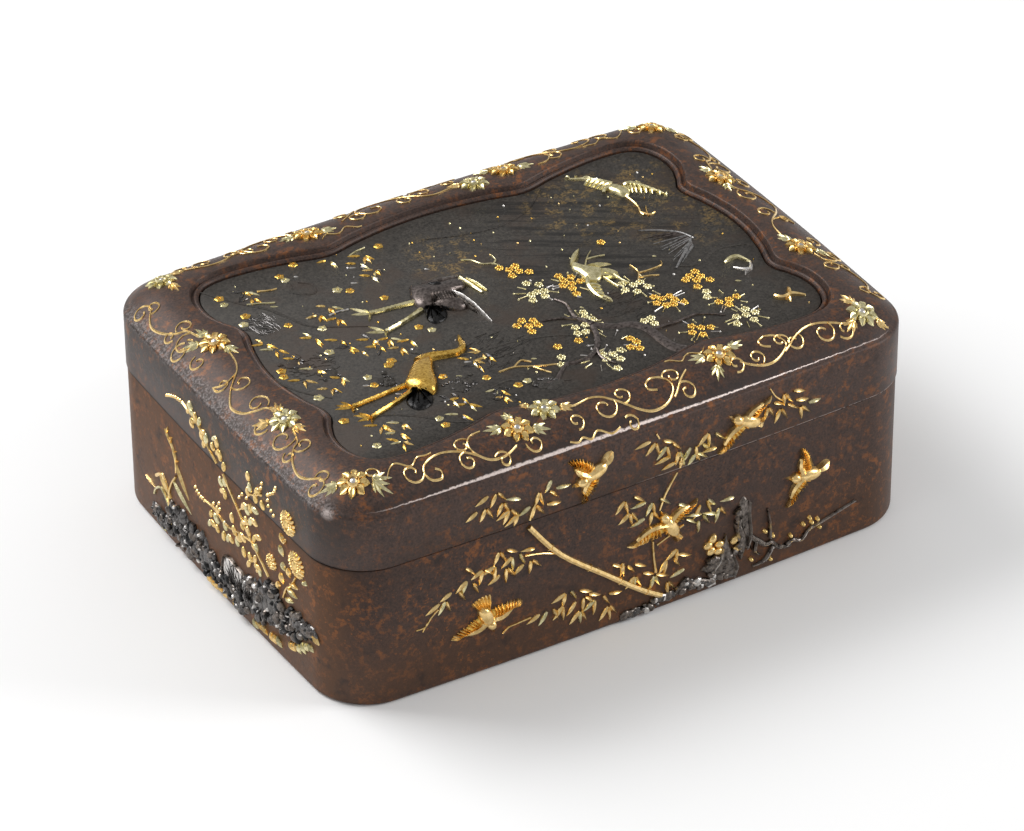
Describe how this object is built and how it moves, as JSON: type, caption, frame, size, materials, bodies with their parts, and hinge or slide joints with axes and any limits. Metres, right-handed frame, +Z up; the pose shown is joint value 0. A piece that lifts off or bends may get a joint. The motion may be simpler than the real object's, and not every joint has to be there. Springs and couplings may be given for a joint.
{
  "type": "iron box",
  "caption": "Rectangular iron box with rounded corners and a lift-off domed lid, its sunk picture plate and sides inlaid with cranes, flowers, bamboo and vines.",
  "frame": {"origin": "middle of the underside, on the plane the box stands on", "axes": "+X along the long side to the right, +Y from the front to the back, +Z up"},
  "size_m": [0.135, 0.0994, 0.0492],
  "materials": {
    "russet_iron": "russet brown, fine grained, dull sheen, worn bright along the edges",
    "dark_plate": "dark grey-olive, smooth, soft sheen",
    "gold": "polished gold inlay",
    "pale_gold": "polished pale greenish gold inlay",
    "silver": "softly tarnished silver inlay"
  },
  "bodies": {
    "root": {"base": "russet_iron", "lid": "russet_iron", "picture_plate": "dark_plate", "bamboo_base": "gold", "bamboo_lid_left": "gold", "bamboo_lid_middle": "gold", "bamboo_lid_right": "gold", "bamboo_right": "gold", "blossoms_middle": "gold", "blossoms_right": "gold", "blossoms_upper": "gold", "chrysanthemum_base": "gold", "chrysanthemum_lid": "gold", "clover_base": "gold", "clover_lid": "gold", "clover_low": "gold", "crane_standing": "gold", "flower_back_inner_left": "gold", "flower_back_inner_right": "gold", "flower_back_left": "gold", "flower_back_right": "gold", "flower_front_inner_left": "gold", "flower_front_inner_right": "gold", "flower_front_left": "gold", "flower_front_right": "gold", "flower_left_front": "gold", "flower_left_rear": "gold", "flower_right_front": "gold", "flower_right_rear": "gold", "pampas_grass": "gold", "small_bird_right": "gold", "sparrow_back": "gold", "sparrow_base_left": "gold", "sparrow_base_middle": "gold", "sparrow_base_right": "gold", "sparrow_lid_left": "gold", "sparrow_lid_right": "gold", "sparrow_right": "gold", "vine_back_left": "gold", "vine_back_middle": "gold", "vine_back_right": "gold", "vine_front_left": "gold", "vine_front_middle": "gold", "vine_front_right": "gold", "vine_left_front": "gold", "vine_left_middle": "gold", "vine_left_rear": "gold", "vine_right_front": "gold", "vine_right_middle": "gold", "vine_right_rear": "gold", "bamboo_twig_base": "pale_gold", "blossoms_front": "pale_gold", "crane_gliding": "pale_gold", "crane_soaring": "pale_gold", "small_bird_left": "pale_gold", "crane_feeding": "silver", "plum_branch_back": "silver", "plum_tree": "silver", "rocks_front": "silver", "rocks_left": "silver"}
  },
  "joints": []
}
